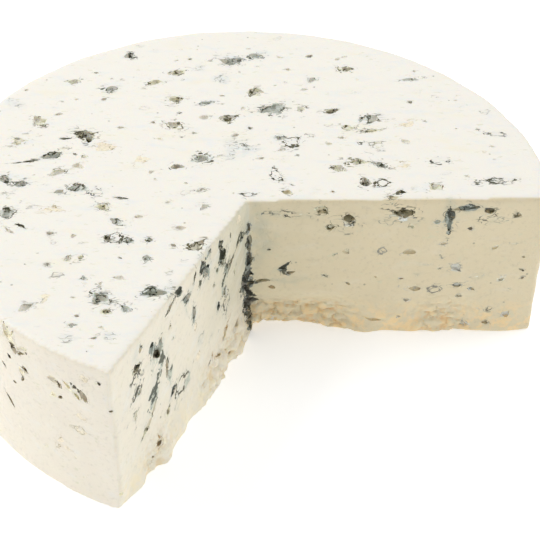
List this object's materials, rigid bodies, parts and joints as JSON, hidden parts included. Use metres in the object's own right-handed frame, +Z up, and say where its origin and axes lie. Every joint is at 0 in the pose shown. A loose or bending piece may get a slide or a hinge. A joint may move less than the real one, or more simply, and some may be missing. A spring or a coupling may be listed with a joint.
{
  "type": "blue cheese wheel",
  "caption": "Short round blue-veined cheese with a flat cut top and a wide wedge missing, with openings between its curds and a crumbly foot.",
  "frame": {"origin": "the middle of the wheel's round, on the flat base that it stands on", "axes": "+Z up from the base to the cut top; +X towards the far end of the missing wedge's far face; -Y towards the near end of its near face"},
  "size_m": [0.2002, 0.1938, 0.057],
  "materials": {
    "paste": "moist matt cheese paste"
  },
  "bodies": {
    "root": {"cheese_wheel": "paste"}
  },
  "joints": []
}
